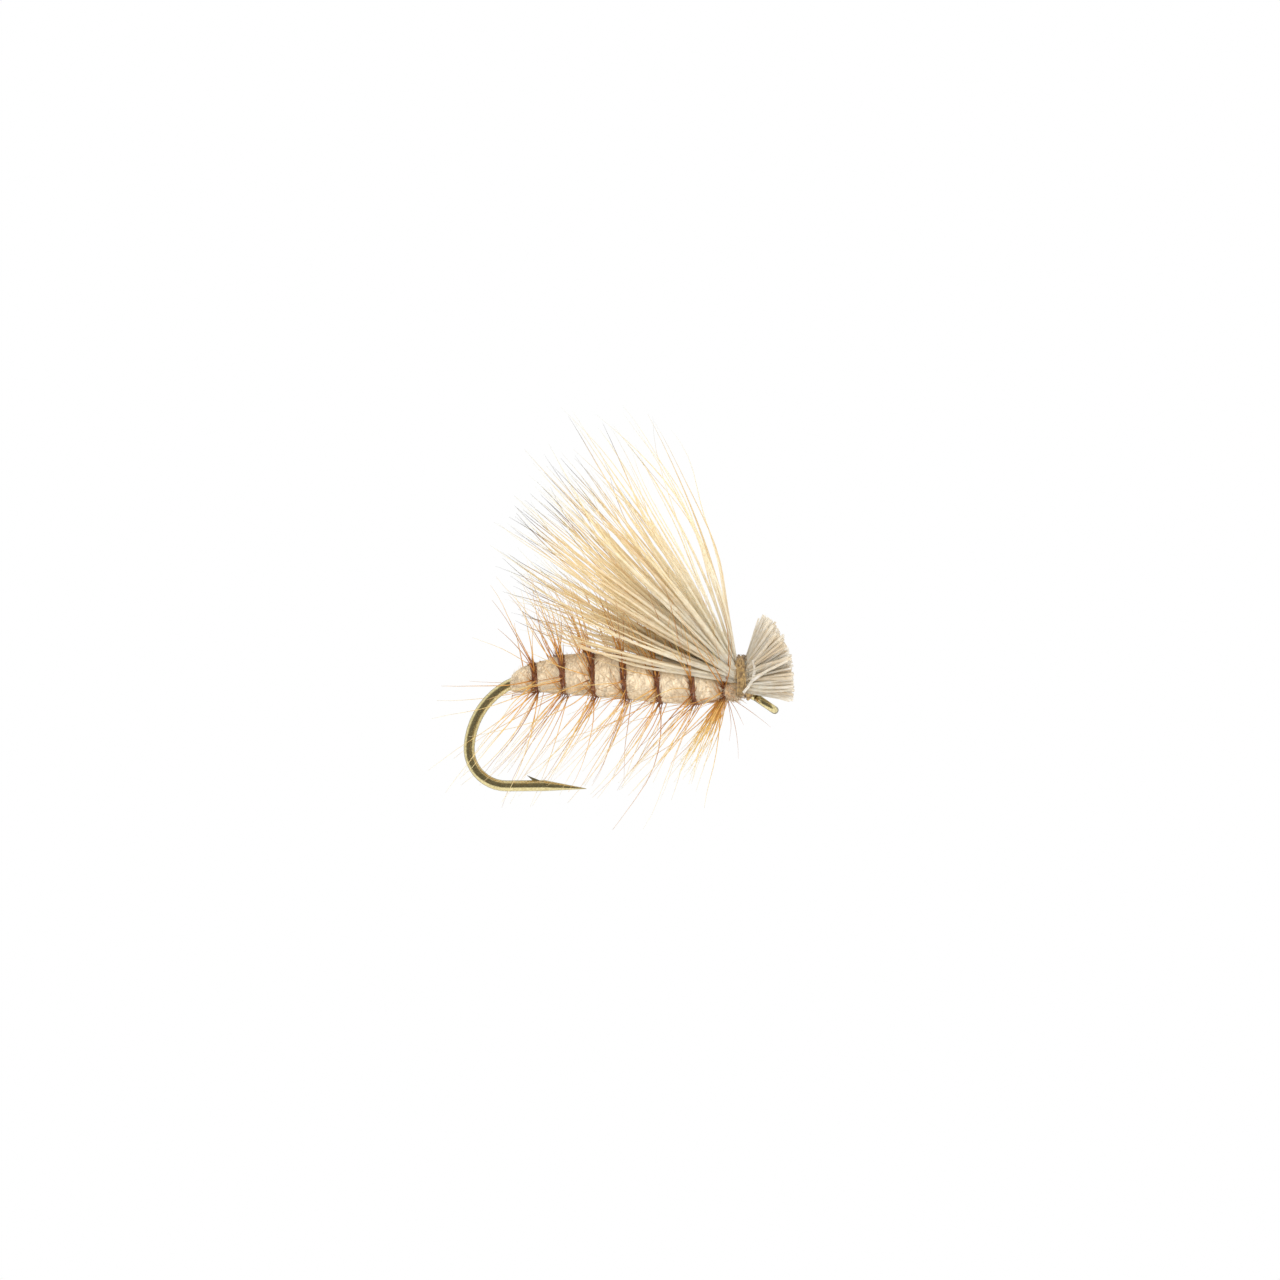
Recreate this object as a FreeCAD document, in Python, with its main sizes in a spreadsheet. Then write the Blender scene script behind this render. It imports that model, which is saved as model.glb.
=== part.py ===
import FreeCAD, Part
import math
import os
import random
import Sketcher

# A dry fly of the elk-hair kind, tied on a size 14 hook.  Millimetres throughout.
# The origin is the centre of the hook's eye; +X runs forward along the shank, +Z is up,
# so the wing stands above the shank and the hook's bend hangs behind and below.

Vector = FreeCAD.Vector
doc = FreeCAD.newDocument("dry_fly")

# ---------------------------------------------------------------- driving dimensions

SIZES = {
    # hook
    "wire_radius": 0.205,
    "shank_height": 0.54,  # shank centreline above the eye's centre
    "bend_x": -8.21,  # where the straight shank ends and the bend begins
    "bend_upper": 2.80,  # radius of the bend's upper quarter
    "bend_lower": 1.40,  # radius of its tighter lower quarter
    "leg_rise": 4.0,  # degrees by which the straight below the barb climbs
    "leg_length": 1.42,  # full-round straight between the bend and the point
    "point_length": 1.56,
    "point_drop": 0.13,  # the point is ground from above, so its tip lies low
    "point_radius": 0.012,
    "barb_height": 0.39,  # barb tip above the leg's centreline
    "barb_length": 0.66,
    "barb_width": 0.15,
    "eye_down": 31.0,  # degrees by which the eye is turned down
    "eye_radius": 0.40,  # eye centre to the middle of its wire
    "eye_wire_radius": 0.145,
    "eye_bore": 0.275,  # polished land inside the eye
    "neck_radius": 0.90,  # the bend that turns the eye down
    # thread
    "thread_thickness": 0.03,
    "underwrap_front": -1.30,
    "tie_down_length": 0.15,
    "tie_down_radius": 0.40,
    "collar_x": -1.21,
    "collar_width": 0.36,
    "collar_height": 0.98,  # collar centre above the eye's centre
    "collar_half_width": 0.88,
    "collar_half_height": 0.765,
    "collar_thickness": 0.10,
    "collar_lean": 5.0,
    "whip_length": 0.18,
    "whip_radius": 0.30,
    # body and hackle
    "body_radius": 0.82,
    "stem_width": 0.28,
    "stem_thickness": 0.11,
    "first_turn_x": -8.70,
    "turn_pitch": 1.02,
    "pitch_growth": 0.033,
    "stem_turns": 6.75,
    "last_turn_x": -1.62,  # the feather is tied off here, against the thread
    "barb_root_radius": 0.028,
    "barb_tip_radius": 0.008,
    "lower_barb": 5.1,
    "upper_barb": 3.4,
    "barb_sweep": 27.0,  # degrees by which the barbs lean back
    # wing
    "hair_radius": 0.055,
    "hair_pitch": 0.124,
    "hair_tip_radius": 0.016,
    "butt_radius": 0.075,
    "wing_low": 20.0,  # degrees above level of the lowest and highest hairs
    "wing_high": 71.0,
    "wing_splay": 24.0,  # degrees to each side of the outermost hairs
    "wing_length": 11.1,
    "butt_reach": 1.75,  # the butts are clipped to an arc this far in front of the collar
}

sheet = doc.addObject("Spreadsheet::Sheet", "sizes")
for row, (alias, value) in enumerate(SIZES.items(), start=1):
    sheet.set(f"A{row}", alias)
    sheet.set(f"B{row}", str(value))
    sheet.setAlias(f"B{row}", alias)
doc.recompute()


def size(alias):
    """A driving dimension as the spreadsheet holds it."""
    return float(sheet.get(alias))


# The body's outline: place along the shank, height of the section's centre, its radius
# as a share of the largest, and how far the section leans as the shank starts to bend.
BODY_STATIONS = (
    (-9.52, 0.215, 0.36, 27.0),
    (-9.30, 0.335, 0.52, 20.0),
    (-8.95, 0.43, 0.60, 12.0),
    (-8.50, 0.515, 0.68, 5.0),
    (-7.80, 0.64, 0.86, 0.0),
    (-6.90, 0.70, 0.95, 0.0),
    (-5.80, 0.71, 0.99, 0.0),
    (-4.70, 0.68, 1.00, 0.0),
    (-3.70, 0.61, 0.95, 0.0),
    (-2.84, 0.515, 0.86, 0.0),
    (-2.00, 0.45, 0.585, 0.0),
    (-1.46, 0.50, 0.39, 0.0),
)


def body_section(x):
    """Centre height and radius of the dubbed body at a place along the shank."""
    largest = size("body_radius")
    if x <= BODY_STATIONS[0][0]:
        return BODY_STATIONS[0][1], BODY_STATIONS[0][2] * largest
    for rear, front in zip(BODY_STATIONS, BODY_STATIONS[1:]):
        if x <= front[0]:
            share = (x - rear[0]) / (front[0] - rear[0])
            height = rear[1] + share * (front[1] - rear[1])
            radius = rear[2] + share * (front[2] - rear[2])
            return height, radius * largest
    return BODY_STATIONS[-1][1], BODY_STATIONS[-1][2] * largest


# ---------------------------------------------------------------- sketch helpers

nodes = []


def keep(obj, label):
    """Count an object as a finished piece under its own name."""
    obj.Label = label
    nodes.append(obj)
    return obj


def origin_plane(body, role):
    return next(f for f in body.Origin.OriginFeatures if f.Role == role)


def sketch_on(body, name, role):
    """An empty sketch on one of the body's origin planes."""
    sketch = body.newObject("Sketcher::SketchObject", name)
    sketch.AttachmentSupport = [(origin_plane(body, role), "")]
    sketch.MapMode = "FlatFace"
    return sketch


def round_section(body, name, x, z, heading, radius):
    """A circle across the direction that climbs at heading, all four bound by expressions."""
    sketch = sketch_on(body, name, "YZ_Plane")
    turn = FreeCAD.Rotation(Vector(-1, 0, 0), 1.0)
    sketch.AttachmentOffset = FreeCAD.Placement(Vector(0, 0, 0), turn)
    sketch.setExpression("AttachmentOffset.Base.y", z)
    sketch.setExpression("AttachmentOffset.Base.z", x)
    sketch.setExpression("AttachmentOffset.Rotation.Angle", heading)
    sketch.addGeometry(Part.Circle(Vector(0, 0, 0), Vector(0, 0, 1), 0.2))
    sketch.addConstraint(Sketcher.Constraint("Coincident", 0, 3, -1, 1))
    index = sketch.addConstraint(Sketcher.Constraint("Radius", 0, 0.2))
    sketch.renameConstraint(index, "radius")
    sketch.setExpression("Constraints.radius", radius)
    return sketch


def named(sketch, name, expression, *arguments):
    """Add a dimension to a sketch and bind it to the sheet."""
    index = sketch.addConstraint(Sketcher.Constraint(*arguments))
    sketch.renameConstraint(index, name)
    sketch.setExpression(f"Constraints.{name}", expression)


def on_arc(centre, radius, degrees):
    angle = math.radians(degrees)
    return Vector(centre.x + radius * math.cos(angle), centre.y + radius * math.sin(angle), 0)


def arc(centre, radius, first, last):
    circle = Part.Circle(centre, Vector(0, 0, 1), radius)
    return Part.ArcOfCircle(circle, math.radians(first), math.radians(last))


# ---------------------------------------------------------------- hook

# Places on the hook, as expressions of the driving dimensions.
NECK_REACH = (
    "sizes.shank_height / sin(sizes.eye_down)"
    " - sizes.neck_radius * tan(sizes.eye_down / 2)"
)
LOWER_X = "sizes.bend_x - sizes.bend_upper + sizes.bend_lower"
LOWER_Z = "sizes.shank_height - sizes.bend_upper"


def along_leg(distance, drop="0"):
    """Expressions for a place a distance along the leg, and a drop below its centreline."""
    x = (
        f"{LOWER_X} + (sizes.bend_lower + {drop}) * sin(sizes.leg_rise)"
        f" + ({distance}) * cos(sizes.leg_rise)"
    )
    z = (
        f"{LOWER_Z} - (sizes.bend_lower + {drop}) * cos(sizes.leg_rise)"
        f" + ({distance}) * sin(sizes.leg_rise)"
    )
    return x, z


def wire_path(body):
    """The hook wire's centreline in side view: neck, shank, two arcs of bend and leg."""
    sketch = sketch_on(body, "wire_path", "XZ_Plane")
    down = size("eye_down")
    rise = size("leg_rise")
    height = size("shank_height")
    neck_radius = size("neck_radius")
    upper_radius = size("bend_upper")
    lower_radius = size("bend_lower")
    bend_x = size("bend_x")
    neck_x = -height / math.tan(math.radians(down)) - neck_radius * math.tan(math.radians(down / 2))
    neck_centre = Vector(neck_x, height - neck_radius, 0)
    upper_centre = Vector(bend_x, height - upper_radius, 0)
    lower_centre = Vector(bend_x - upper_radius + lower_radius, height - upper_radius, 0)
    leg_start = on_arc(lower_centre, lower_radius, 270 + rise)
    leg_end = leg_start + on_arc(Vector(0, 0, 0), size("leg_length"), rise)
    neck, bow, shank, upper, lower, leg = range(6)
    sketch.addGeometry(Part.LineSegment(Vector(0, 0, 0), on_arc(neck_centre, neck_radius, 90 - down)))
    sketch.toggleConstruction(neck)
    sketch.addGeometry(arc(neck_centre, neck_radius, 90 - down, 90))
    sketch.addGeometry(Part.LineSegment(Vector(neck_x, height, 0), Vector(bend_x, height, 0)))
    sketch.addGeometry(arc(upper_centre, upper_radius, 90, 180))
    sketch.addGeometry(arc(lower_centre, lower_radius, 180, 270 + rise))
    sketch.addGeometry(Part.LineSegment(leg_start, leg_end))
    for rear, front in ((neck, bow), (bow, shank), (shank, upper), (upper, lower), (lower, leg)):
        sketch.addConstraint(Sketcher.Constraint("Tangent", rear, 2, front, 1))
    sketch.addConstraint(Sketcher.Constraint("Coincident", neck, 1, -1, 1))
    sketch.addConstraint(Sketcher.Constraint("Horizontal", shank))
    sketch.addConstraint(Sketcher.Constraint("Horizontal", upper, 3, upper, 2))
    named(sketch, "neck_angle", "180 - sizes.eye_down", "Angle", neck, math.radians(180 - down))
    named(sketch, "leg_angle", "sizes.leg_rise", "Angle", leg, math.radians(rise))
    named(sketch, "neck_bend", "sizes.neck_radius", "Radius", bow, neck_radius)
    named(sketch, "upper_bend", "sizes.bend_upper", "Radius", upper, upper_radius)
    named(sketch, "lower_bend", "sizes.bend_lower", "Radius", lower, lower_radius)
    named(sketch, "leg_run", "sizes.leg_length", "Distance", leg, size("leg_length"))
    named(sketch, "height", "sizes.shank_height", "DistanceY", -1, 1, shank, 1, height)
    named(sketch, "shank_end", "-sizes.bend_x", "DistanceX", shank, 2, -1, 1, -bend_x)
    return sketch


def make_hook():
    """Turned-down-eye dry fly hook: one wire, bent, with a barb and a ground point."""
    body = doc.addObject("PartDesign::Body", "hook")
    neck_x = f"-({NECK_REACH}) * cos(sizes.eye_down)"
    neck_z = f"({NECK_REACH}) * sin(sizes.eye_down)"
    path = wire_path(body)
    section = round_section(body, "wire_section", neck_x, neck_z, "-sizes.eye_down", "sizes.wire_radius")
    wire = body.newObject("PartDesign::AdditivePipe", "wire")
    wire.Profile = section
    wire.Spine = path
    doc.recompute()

    rear = round_section(body, "neck_rear", neck_x, neck_z, "-sizes.eye_down", "sizes.wire_radius")
    ring_x = "-sizes.eye_radius * cos(sizes.eye_down)"
    ring_z = "sizes.eye_radius * sin(sizes.eye_down)"
    front = round_section(body, "neck_front", ring_x, ring_z, "-sizes.eye_down", "sizes.eye_wire_radius")
    neck = body.newObject("PartDesign::AdditiveLoft", "neck")
    neck.Profile = rear
    neck.Sections = [front]
    doc.recompute()

    root_x, root_z = along_leg("sizes.leg_length")
    tip_x, tip_z = along_leg("sizes.leg_length + sizes.point_length", "sizes.point_drop")
    root = round_section(body, "point_root", root_x, root_z, "sizes.leg_rise", "sizes.wire_radius")
    tip = round_section(body, "point_tip", tip_x, tip_z, "sizes.leg_rise", "sizes.point_radius")
    point = body.newObject("PartDesign::AdditiveLoft", "point")
    point.Profile = root
    point.Sections = [tip]
    doc.recompute()
    make_barb(body)
    make_eye(body)
    return keep(body, "hook")


def make_barb(body):
    """The sliver raised from the top of the leg, pointing back and up."""
    sketch = sketch_on(body, "barb_outline", "XZ_Plane")
    turn = FreeCAD.Rotation(Vector(0, 0, 1), 1.0)
    sketch.AttachmentOffset = FreeCAD.Placement(Vector(0, 0, 0), turn)
    x, z = along_leg("sizes.leg_length")
    sketch.setExpression("AttachmentOffset.Base.x", x)
    sketch.setExpression("AttachmentOffset.Base.y", z)
    sketch.setExpression("AttachmentOffset.Rotation.Angle", "sizes.leg_rise")
    reach = size("barb_length")
    inside = 0.6 * size("wire_radius")  # the barb's root is buried in the wire
    corners = (
        Vector(0, inside, 0),
        Vector(-reach, size("barb_height"), 0),
        Vector(-0.55 * reach, inside, 0),
    )
    for number, corner in enumerate(corners):
        sketch.addGeometry(Part.LineSegment(corner, corners[(number + 1) % 3]))
    for number in range(3):
        sketch.addConstraint(Sketcher.Constraint("Coincident", number, 2, (number + 1) % 3, 1))
    sketch.addConstraint(Sketcher.Constraint("Horizontal", 2))
    named(sketch, "front", "0", "DistanceX", -1, 1, 0, 1, 0.0)
    named(sketch, "root", "0.6 * sizes.wire_radius", "DistanceY", -1, 1, 0, 1, inside)
    named(sketch, "reach", "sizes.barb_length", "DistanceX", 0, 2, -1, 1, reach)
    named(sketch, "tip", "sizes.barb_height", "DistanceY", -1, 1, 0, 2, size("barb_height"))
    named(sketch, "notch", "0.55 * sizes.barb_length", "DistanceX", 2, 1, 0, 1, 0.55 * reach)
    barb = body.newObject("PartDesign::Pad", "barb")
    barb.Profile = sketch
    barb.Midplane = True
    barb.setExpression("Length", "sizes.barb_width")
    doc.recompute()


def make_eye(body):
    """The ring of the eye: round wire with a short cylindrical land inside."""
    sketch = sketch_on(body, "eye_profile", "XZ_Plane")
    turn = FreeCAD.Rotation(Vector(0, 0, -1), 1.0)
    sketch.AttachmentOffset = FreeCAD.Placement(Vector(0, 0, 0), turn)
    sketch.setExpression("AttachmentOffset.Rotation.Angle", "sizes.eye_down")
    middle = size("eye_radius")
    thick = size("eye_wire_radius")
    bore = size("eye_bore")
    half = math.sqrt(thick**2 - (middle - bore) ** 2)
    corner = math.degrees(math.atan2(half, bore - middle))
    sketch.addGeometry(arc(Vector(middle, 0, 0), thick, -corner, corner))
    sketch.addGeometry(Part.LineSegment(Vector(bore, half, 0), Vector(bore, -half, 0)))
    sketch.addConstraint(Sketcher.Constraint("Coincident", 0, 2, 1, 1))
    sketch.addConstraint(Sketcher.Constraint("Coincident", 1, 2, 0, 1))
    sketch.addConstraint(Sketcher.Constraint("Vertical", 1))
    sketch.addConstraint(Sketcher.Constraint("PointOnObject", 0, 3, -1))
    named(sketch, "middle", "sizes.eye_radius", "DistanceX", -1, 1, 0, 3, middle)
    named(sketch, "wire", "sizes.eye_wire_radius", "Radius", 0, thick)
    named(sketch, "bore", "sizes.eye_bore", "DistanceX", -1, 1, 1, 1, bore)
    ring = body.newObject("PartDesign::Revolution", "eye")
    ring.Profile = sketch
    ring.ReferenceAxis = (sketch, ["V_Axis"])
    ring.Angle = 360
    doc.recompute()


# ---------------------------------------------------------------- thread and dubbing


def sleeve(label, x, z, climb, length, inner, outer):
    """A ring of thread windings: it starts at x, z and runs back, climbing at an angle."""
    rings = []
    for part, radius in (("outside", outer), ("core", inner)):
        cylinder = doc.addObject("Part::Cylinder", f"{label}_{part}")
        turn = FreeCAD.Rotation(Vector(0, -1, 0), 90)
        cylinder.Placement = FreeCAD.Placement(Vector(0, 0, 0), turn)
        cylinder.setExpression("Radius", radius)
        cylinder.setExpression("Height", length)
        cylinder.setExpression("Placement.Base.x", x)
        cylinder.setExpression("Placement.Base.z", z)
        cylinder.setExpression("Placement.Rotation.Angle", f"90 - {climb}")
        rings.append(cylinder)
    cut = doc.addObject("Part::Cut", label)
    cut.Base, cut.Tool = rings
    return keep(cut, label)


def make_thread():
    """The thread on the bare hook: the base under the body, the tie-down and the finish."""
    front = "sizes.underwrap_front"
    height = "sizes.shank_height"
    wire = "sizes.wire_radius"
    wrapped = "sizes.wire_radius + sizes.thread_thickness"
    run = "sizes.underwrap_front - sizes.bend_x"
    underwrap = sleeve("thread_underwrap", front, height, "0", run, wire, wrapped)
    tied = "sizes.tie_down_length"
    sleeve("thread_tie_down", front, height, "0", tied, wrapped, "sizes.tie_down_radius")
    start = f"({NECK_REACH} - sizes.whip_length)"
    x = f"-{start} * cos(sizes.eye_down)"
    z = f"{start} * sin(sizes.eye_down)"
    sleeve("whip_finish", x, z, "sizes.eye_down", "sizes.whip_length", wire, "sizes.whip_radius")
    return underwrap


def make_dubbed_body(hook, underwrap):
    """Dubbed fur wound in a cigar shape, hollow where the thread-covered shank runs."""
    body = doc.addObject("PartDesign::Body", "dubbing_solid")
    sections = []
    for number, (x, z, share, lean) in enumerate(BODY_STATIONS):
        radius = f"sizes.body_radius * {share}"
        sections.append(round_section(body, f"station_{number}", str(x), str(z), str(lean), radius))
    loft = body.newObject("PartDesign::AdditiveLoft", "dubbing")
    loft.Profile = sections[0]
    loft.Sections = sections[1:]
    loft.Ruled = True
    core = doc.addObject("Part::MultiFuse", "dubbing_core")
    core.Shapes = [hook, underwrap]
    cut = doc.addObject("Part::Cut", "dubbed_body")
    cut.Base = body
    cut.Tool = core
    return keep(cut, "dubbed_body")


def make_collar():
    """The band of thread that binds the hair down: an oval loop round hair and shank."""
    body = doc.addObject("PartDesign::Body", "thread_collar")
    sketch = sketch_on(body, "collar_outline", "YZ_Plane")
    turn = FreeCAD.Rotation(Vector(-1, 0, 0), 1.0)
    sketch.AttachmentOffset = FreeCAD.Placement(Vector(0, 0, 0), turn)
    sketch.setExpression("AttachmentOffset.Base.y", "sizes.collar_height")
    sketch.setExpression("AttachmentOffset.Base.z", "sizes.collar_x")
    sketch.setExpression("AttachmentOffset.Rotation.Angle", "-sizes.collar_lean")
    wide = size("collar_half_width")
    tall = size("collar_half_height")
    for inset in (0.0, size("collar_thickness")):
        major = Vector(wide - inset, 0, 0)
        minor = Vector(0, tall - inset, 0)
        sketch.addGeometry(Part.Ellipse(major, minor, Vector(0, 0, 0)))
        sketch.exposeInternalGeometry(sketch.GeometryCount - 1)
    bind_ellipses(sketch)
    pad = body.newObject("PartDesign::Pad", "collar")
    pad.Profile = sketch
    pad.setExpression("Length", "sizes.collar_width")
    return keep(body, "thread_collar")


def bind_ellipses(sketch):
    """Centre both ellipses of the collar and bind their half axes to the sheet."""
    ellipses = [i for i in range(sketch.GeometryCount) if isinstance(sketch.Geometry[i], Part.Ellipse)]
    for order, index in enumerate(ellipses):
        inset = "0" if order == 0 else "sizes.collar_thickness"
        major = index + 1
        minor = index + 2
        sketch.addConstraint(Sketcher.Constraint("Coincident", index, 3, -1, 1))
        sketch.addConstraint(Sketcher.Constraint("Horizontal", major))
        wide = 2 * sketch.Geometry[index].MajorRadius
        tall = 2 * sketch.Geometry[index].MinorRadius
        across = f"2 * (sizes.collar_half_width - {inset})"
        up = f"2 * (sizes.collar_half_height - {inset})"
        named(sketch, f"wide_{order}", across, "Distance", major, wide)
        named(sketch, f"tall_{order}", up, "Distance", minor, tall)


# ---------------------------------------------------------------- fibres

draw = random.Random(14)
laid = []  # every straight stretch of fibre or wire so far: start, end, radius


def gap_between(p, q, r, s):
    """Least distance between the straight stretches p-q and r-s."""
    d1 = q - p
    d2 = s - r
    w = p - r
    a = d1.dot(d1)
    e = d2.dot(d2)
    f = d2.dot(w)
    c = d1.dot(w)
    b = d1.dot(d2)
    denominator = a * e - b * b
    along = 0.0
    if denominator > 1e-12:
        along = min(max((b * f - c * e) / denominator, 0.0), 1.0)
    across = min(max((b * along + f) / e, 0.0), 1.0)
    along = min(max((b * across - c) / a, 0.0), 1.0)
    return ((p + d1 * along) - (r + d2 * across)).Length


def is_clear(stretches):
    """Whether a new fibre's stretches miss everything laid before it."""
    for start, end, radius in stretches:
        for other_start, other_end, other_radius in laid:
            room = radius + other_radius + 0.01
            if gap_between(start, end, other_start, other_end) < room:
                return False
    return True


def hair_solid(points, radii):
    """A hair: a loft through round sections that stand across its run."""
    rings = []
    for number, (point, radius) in enumerate(zip(points, radii)):
        before = points[max(number - 1, 0)]
        after = points[min(number + 1, len(points) - 1)]
        run = (after - before).normalize()
        side = Vector(0, 1, 0)
        turn = FreeCAD.Rotation(side, run.cross(side), run, "ZXY")
        ring = Part.Wire(Part.makeCircle(radius))
        ring.Placement = FreeCAD.Placement(point, turn)
        rings.append(ring)
    return Part.makeLoft(rings, True, True)


def barb_solid(root, tip, root_radius, tip_radius):
    """A hackle barb: a straight six-sided taper."""
    run = (tip - root).normalize()
    first = run.cross(Vector(1, 0, 0)).normalize()
    second = run.cross(first)
    rings = []
    for point, radius in ((root, root_radius), (tip, tip_radius)):
        corners = []
        for side in range(6):
            angle = math.radians(60 * side)
            corners.append(point + (first * math.cos(angle) + second * math.sin(angle)) * radius)
        rings.append(Part.makePolygon(corners + corners[:1]))
    return Part.makeLoft(rings, True, True)


def stretches_of(points, radii):
    pairs = zip(points, points[1:], radii, radii[1:])
    return [(start, end, max(first, last)) for start, end, first, last in pairs]


def fibre_group(name, shapes):
    """One node holding a group of separate fibres."""
    group = doc.addObject("Part::Feature", name)
    group.Shape = Part.makeCompound(shapes)
    group.Placement = FreeCAD.Placement()
    return keep(group, name)


# The hook wire as straight stretches, so that fibres can be laid clear of it.
def lay_hook_wire():
    height = size("shank_height")
    upper = size("bend_upper")
    lower = size("bend_lower")
    bend_x = size("bend_x")
    centre = Vector(bend_x, 0, height - upper)
    points = [Vector(-0.4, 0, 0.2), Vector(-1.1, 0, height), Vector(bend_x, 0, height)]
    for degrees in range(105, 181, 15):
        angle = math.radians(degrees)
        points.append(centre + Vector(upper * math.cos(angle), 0, upper * math.sin(angle)))
    centre = Vector(bend_x - upper + lower, 0, height - upper)
    for degrees in range(195, 271, 15):
        angle = math.radians(degrees)
        points.append(centre + Vector(lower * math.cos(angle), 0, lower * math.sin(angle)))
    points.append(points[-1] + Vector(size("leg_length") + size("point_length"), 0, 0.15))
    laid.extend(stretches_of(points, [size("wire_radius") + 0.03] * len(points)))


def lay_mating_path():
    """The line leaves the eye square to its ring, down and back; no fibre is put there."""
    angle = math.radians(size("eye_down"))
    away = Vector(-math.sin(angle), 0, -math.cos(angle)) * 34
    laid.append((Vector(0, 0, 0), away, size("eye_bore") + 0.1))


# ---------------------------------------------------------------- elk hair


def hair_rows():
    """Places where the hairs pass through the collar: staggered rows above the shank."""
    pitch = size("hair_pitch")
    radius = size("hair_radius")
    room = size("collar_thickness") + radius + 0.015
    wide = size("collar_half_width") - room
    tall = size("collar_half_height") - room
    lowest = size("shank_height") + size("tie_down_radius") + radius + 0.015
    step = pitch * math.sqrt(3) / 2
    rows = []
    z = lowest
    while z < size("collar_height") + tall:
        inside = 1 - ((z - size("collar_height")) / tall) ** 2
        half = wide * math.sqrt(inside)
        shift = 0.5 * pitch * (len(rows) % 2)
        columns = range(-10, 11)
        places = [c * pitch + shift for c in columns if abs(c * pitch + shift) <= half]
        if places:
            rows.append([(y, z) for y in places])
        z += step
    return rows


def wing_climb(share):
    """Degrees above level at which a row of the wing stands; share is 0 for the lowest."""
    low = size("wing_low")
    return low + (size("wing_high") - low) * share**1.2


def wing_bow(share):
    """How far a hair bows upward, as a share of its length."""
    return 0.03 + 0.055 * share


def row_leads(count):
    """How much further each row runs level than the top one before it flares upward.

    A lower row has to turn up further out, or the row above it would cut across it.
    """
    rise = size("hair_pitch") * math.sqrt(3) / 2
    leads = [0.0]
    for number in range(count - 1, 0, -1):
        share = number / (count - 1)
        start = math.radians(wing_climb(share)) + math.atan(4 * wing_bow(share))
        leads.append(leads[-1] + rise * math.tan(start / 2))
    return leads[::-1]


def hair_points(y, z, share, lead, lift, spread):
    """One hair from its clipped butt, level through the collar, to the tip of the wing."""
    climb = math.radians(wing_climb(share) + lift)
    side = math.radians(size("wing_splay") * y / size("collar_half_width") + spread)
    length = size("wing_length") * (0.85 + 0.17 * share) * draw.uniform(0.86, 1.03)
    bow = wing_bow(share)
    level = math.cos(climb)
    rise = math.sin(climb)
    run = Vector(-level * math.cos(side), level * math.sin(side) + 0.25 * math.sin(side), rise)
    normal = Vector(rise * math.cos(side), 0, level)
    rear = Vector(size("collar_x") - 0.06 - lead, y, z)
    front = Vector(size("collar_x") + size("collar_width") + 0.06 + lead, y, z)
    butt_climb = math.radians(-12 + 90 * share + 0.5 * lift)
    butt_side = math.radians(46 * y / size("collar_half_width"))
    butt = Vector(
        math.cos(butt_climb) * math.cos(butt_side),
        math.cos(butt_climb) * math.sin(butt_side) + 0.2 * math.sin(butt_side),
        math.sin(butt_climb),
    )
    cut = size("butt_reach") * draw.uniform(0.92, 1.05) - lead * math.cos(butt_climb)
    points = [front + butt * cut, front + butt * (0.3 * cut), front, rear]
    for t in (0.08, 0.28, 0.52, 0.76, 1.0):
        points.append(rear + (run * t + normal * (4 * bow * t * (1 - t))) * length)
    return points


def make_wing():
    """Rows of hair bound on top of the shank; each row is a node of separate hairs."""
    butt = size("butt_radius")
    hair = size("hair_radius")
    tip = size("hair_tip_radius")
    radii = [butt, hair, hair, hair, hair, 1.1 * hair, hair, 0.8 * hair, tip]
    rows = hair_rows()
    leads = row_leads(len(rows))
    for number, (places, lead) in enumerate(zip(rows, leads), start=1):
        share = (number - 1) / (len(rows) - 1)
        shapes = []
        for y, z in places:
            for attempt in range(60):
                wander = 1.3 + 0.06 * attempt
                lift = draw.gauss(0, wander)
                points = hair_points(y, z, share, lead, lift, draw.gauss(0, wander))
                stretches = stretches_of(points, radii)
                if is_clear(stretches):
                    laid.extend(stretches)
                    shapes.append(hair_solid(points, radii))
                    break
        fibre_group(f"elk_hair_row_{number}", shapes)


# ---------------------------------------------------------------- hackle


def stem_place(turns):
    """Where the hackle's stem lies after some turns: place along the shank and angle."""
    x = size("first_turn_x") + size("turn_pitch") * turns
    x += size("pitch_growth") * turns * (turns - 1)
    return min(x, size("last_turn_x")), math.radians(90 + 360 * turns)


def outward(angle):
    """The direction away from the shank: 0 is up, a quarter turn on is the -Y side."""
    return Vector(0, -math.sin(angle), math.cos(angle))


def make_stem():
    """The feather's flat quill, wound forward over the body in an open spiral."""
    per_turn = 18
    count = int(size("stem_turns") * per_turn)
    half = size("stem_width") / 2
    rings = []
    for number in range(count + 1):
        x, angle = stem_place(number / per_turn - 0.3)
        out = outward(angle)
        height = body_section(x)[0]
        under = 0.0
        for edge in (x - half, x, x + half):
            edge_height, radius = body_section(edge)
            under = max(under, radius + (edge_height - height) * out.z)
        under = under / math.cos(math.pi / per_turn) + 0.01
        axis = Vector(x, 0, height)
        corners = [
            axis + Vector(-half, 0, 0) + out * under,
            axis + Vector(half, 0, 0) + out * under,
            axis + Vector(half, 0, 0) + out * (under + size("stem_thickness")),
            axis + Vector(-half, 0, 0) + out * (under + size("stem_thickness")),
        ]
        rings.append(Part.makePolygon(corners + corners[:1]))
    stem = doc.addObject("Part::Feature", "hackle_stem")
    stem.Shape = Part.makeLoft(rings, True, True)
    stem.Placement = FreeCAD.Placement()
    return keep(stem, "hackle_stem")


def barb_ends(turns, sweep, lean, length):
    """Root and tip of one hackle barb, standing off the stem's outer face."""
    x, angle = stem_place(turns)
    height, radius = body_section(x)
    out = outward(angle)
    root = Vector(x, 0, height) + out * (radius + size("stem_thickness") + 0.07)
    aside = outward(angle + math.pi / 2)
    swept = math.radians(sweep)
    direction = out * math.cos(swept) - Vector(math.sin(swept), 0, 0) + aside * math.sin(math.radians(lean))
    return root, root + direction.normalize() * length


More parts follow.
